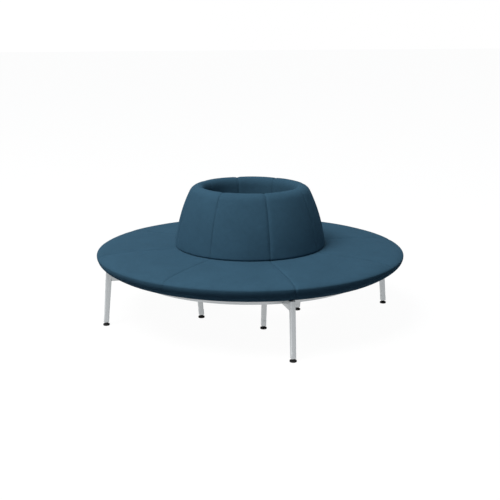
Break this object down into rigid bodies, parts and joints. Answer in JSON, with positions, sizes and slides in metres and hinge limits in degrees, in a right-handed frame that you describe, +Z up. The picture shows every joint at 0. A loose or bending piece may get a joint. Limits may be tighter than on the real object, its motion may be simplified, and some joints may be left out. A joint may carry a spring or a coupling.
{
  "type": "round sofa",
  "caption": "Round upholstered sofa: ring seat round a conical ring backrest with an open centre, on slim splayed metal legs with levelling glides.",
  "frame": {"origin": "centre of the sofa at floor level", "axes": "+Z up along the sofa's axis of symmetry; leg frames on +X, +Y, -X and -Y; module 1 lies between +X and +Y"},
  "size_m": [1.797, 1.797, 0.787],
  "materials": {
    "upholstery": "matte woven upholstery, teal blue",
    "plywood": "bare birch plywood",
    "frame_metal": "satin silver-grey powder coat",
    "black_plastic": "matte black nylon"
  },
  "bodies": {
    "root": {"seat_cushion_1": "upholstery", "seat_cushion_2": "upholstery", "seat_cushion_3": "upholstery", "seat_cushion_4": "upholstery", "seat_board_1": "plywood", "seat_board_2": "plywood", "seat_board_3": "plywood", "seat_board_4": "plywood", "back_cushion_1": "upholstery", "back_cushion_2": "upholstery", "back_cushion_3": "upholstery", "back_cushion_4": "upholstery", "back_shell_1": "plywood", "back_shell_2": "plywood", "back_shell_3": "plywood", "back_shell_4": "plywood", "back_liner_1": "plywood", "back_liner_2": "plywood", "back_liner_3": "plywood", "back_liner_4": "plywood", "back_top_rib_1": "plywood", "back_top_rib_2": "plywood", "back_top_rib_3": "plywood", "back_top_rib_4": "plywood", "back_rib_1": "plywood", "back_rib_2": "plywood", "back_rib_3": "plywood", "back_rib_4": "plywood", "back_rib_5": "plywood", "back_rib_6": "plywood", "back_rib_7": "plywood", "back_rib_8": "plywood", "radial_beam_1": "frame_metal", "radial_beam_2": "frame_metal", "radial_beam_3": "frame_metal", "radial_beam_4": "frame_metal", "outer_leg_1": "frame_metal", "outer_leg_2": "frame_metal", "outer_leg_3": "frame_metal", "outer_leg_4": "frame_metal", "inner_leg_1": "frame_metal", "inner_leg_2": "frame_metal", "inner_leg_3": "frame_metal", "inner_leg_4": "frame_metal", "outer_rail_1": "frame_metal", "outer_rail_2": "frame_metal", "outer_rail_3": "frame_metal", "outer_rail_4": "frame_metal", "inner_rail_1": "frame_metal", "inner_rail_2": "frame_metal", "inner_rail_3": "frame_metal", "inner_rail_4": "frame_metal"},
    "outer_glide_1": {"outer_glide_1": "black_plastic"},
    "outer_glide_2": {"outer_glide_2": "black_plastic"},
    "outer_glide_3": {"outer_glide_3": "black_plastic"},
    "outer_glide_4": {"outer_glide_4": "black_plastic"},
    "inner_glide_1": {"inner_glide_1": "black_plastic"},
    "inner_glide_2": {"inner_glide_2": "black_plastic"},
    "inner_glide_3": {"inner_glide_3": "black_plastic"},
    "inner_glide_4": {"inner_glide_4": "black_plastic"}
  },
  "joints": [
    {"name": "outer_glide_1_screw", "type": "slide", "parent": "root", "child": "outer_glide_1", "axis": [0, 0, -1], "range_m": [0, 0.01]},
    {"name": "outer_glide_2_screw", "type": "slide", "parent": "root", "child": "outer_glide_2", "axis": [0, 0, -1], "range_m": [0, 0.01]},
    {"name": "outer_glide_3_screw", "type": "slide", "parent": "root", "child": "outer_glide_3", "axis": [0, 0, -1], "range_m": [0, 0.01]},
    {"name": "outer_glide_4_screw", "type": "slide", "parent": "root", "child": "outer_glide_4", "axis": [0, 0, -1], "range_m": [0, 0.01]},
    {"name": "inner_glide_1_screw", "type": "slide", "parent": "root", "child": "inner_glide_1", "axis": [0, 0, -1], "range_m": [0, 0.01]},
    {"name": "inner_glide_2_screw", "type": "slide", "parent": "root", "child": "inner_glide_2", "axis": [0, 0, -1], "range_m": [0, 0.01]},
    {"name": "inner_glide_3_screw", "type": "slide", "parent": "root", "child": "inner_glide_3", "axis": [0, 0, -1], "range_m": [0, 0.01]},
    {"name": "inner_glide_4_screw", "type": "slide", "parent": "root", "child": "inner_glide_4", "axis": [0, 0, -1], "range_m": [0, 0.01]}
  ]
}
